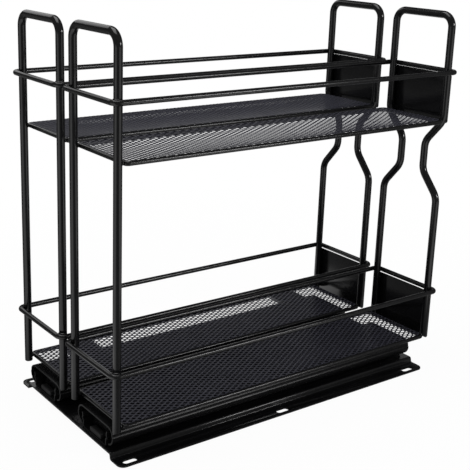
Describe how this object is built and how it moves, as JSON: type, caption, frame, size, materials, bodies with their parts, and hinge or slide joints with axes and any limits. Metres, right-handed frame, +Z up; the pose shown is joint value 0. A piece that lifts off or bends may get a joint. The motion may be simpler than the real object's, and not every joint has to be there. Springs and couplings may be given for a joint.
{
  "type": "pull-out spice rack",
  "caption": "Narrow two-tier wire racks side by side on ball-bearing slides, with expanded-metal shelves, guard wires and front panels, pulling out of a cabinet on a slotted base plate.",
  "frame": {"origin": "on the surface the rack stands on, under the middle of the rack", "axes": "+Z up, -Y towards the front where the racks pull out, +X to the right seen from the front"},
  "size_m": [0.15, 0.3032, 0.2857],
  "materials": {
    "powder_coat": "semi-gloss black powder coat on steel",
    "mesh_coat": "semi-gloss black powder coat on expanded steel, bluish where it catches light",
    "rail_coat": "black electro-coat on cold-rolled steel rail",
    "zinc": "bright zinc on steel",
    "plastic": "moulded black plastic"
  },
  "bodies": {
    "base": {"base_plate": "powder_coat", "left_fixed_rail": "rail_coat", "left_rail_rivet_1": "zinc", "left_rail_rivet_2": "zinc", "left_rail_rivet_3": "zinc", "left_rear_bumper": "plastic", "left_travel_stop": "plastic", "right_fixed_rail": "rail_coat", "right_rail_rivet_1": "zinc", "right_rail_rivet_2": "zinc", "right_rail_rivet_3": "zinc", "right_rear_bumper": "plastic", "right_travel_stop": "plastic"},
    "left_rack": {"left_moving_rail": "rail_coat", "left_front_strap": "powder_coat", "left_front_strap_screw_a": "zinc", "left_front_strap_screw_b": "zinc", "left_rear_strap": "powder_coat", "left_rear_strap_screw_a": "zinc", "left_rear_strap_screw_b": "zinc", "left_rear_loop": "powder_coat", "left_front_loop": "powder_coat", "left_upper_guard_wire": "powder_coat", "left_upper_shelf_frame": "powder_coat", "left_upper_mesh": "mesh_coat", "left_upper_front_panel": "powder_coat", "left_lower_guard_wire": "powder_coat", "left_lower_shelf_frame": "powder_coat", "left_lower_mesh": "mesh_coat", "left_lower_front_panel": "powder_coat"},
    "right_rack": {"right_moving_rail": "rail_coat", "right_front_strap": "powder_coat", "right_front_strap_screw_a": "zinc", "right_front_strap_screw_b": "zinc", "right_rear_strap": "powder_coat", "right_rear_strap_screw_a": "zinc", "right_rear_strap_screw_b": "zinc", "right_rear_loop": "powder_coat", "right_front_loop": "powder_coat", "right_upper_guard_wire": "powder_coat", "right_upper_shelf_frame": "powder_coat", "right_upper_mesh": "mesh_coat", "right_upper_front_panel": "powder_coat", "right_lower_guard_wire": "powder_coat", "right_lower_shelf_frame": "powder_coat", "right_lower_mesh": "mesh_coat", "right_lower_front_panel": "powder_coat"},
    "left_cages": {"left_ball_cage_a": "zinc", "left_ball_cage_b": "zinc"},
    "right_cages": {"right_ball_cage_a": "zinc", "right_ball_cage_b": "zinc"}
  },
  "joints": [
    {"name": "left_pull", "type": "slide", "parent": "base", "child": "left_rack", "axis": [0, -1, 0], "range_m": [0, 0.19]},
    {"name": "left_cage_roll", "type": "slide", "parent": "base", "child": "left_cages", "axis": [0, -1, 0], "range_m": [0, 0.095]},
    {"name": "right_pull", "type": "slide", "parent": "base", "child": "right_rack", "axis": [0, -1, 0], "range_m": [0, 0.19]},
    {"name": "right_cage_roll", "type": "slide", "parent": "base", "child": "right_cages", "axis": [0, -1, 0], "range_m": [0, 0.095]}
  ],
  "couplings": [
    {"joint": "left_cage_roll", "follows": "left_pull", "ratio": 0.5},
    {"joint": "right_cage_roll", "follows": "right_pull", "ratio": 0.5}
  ]
}
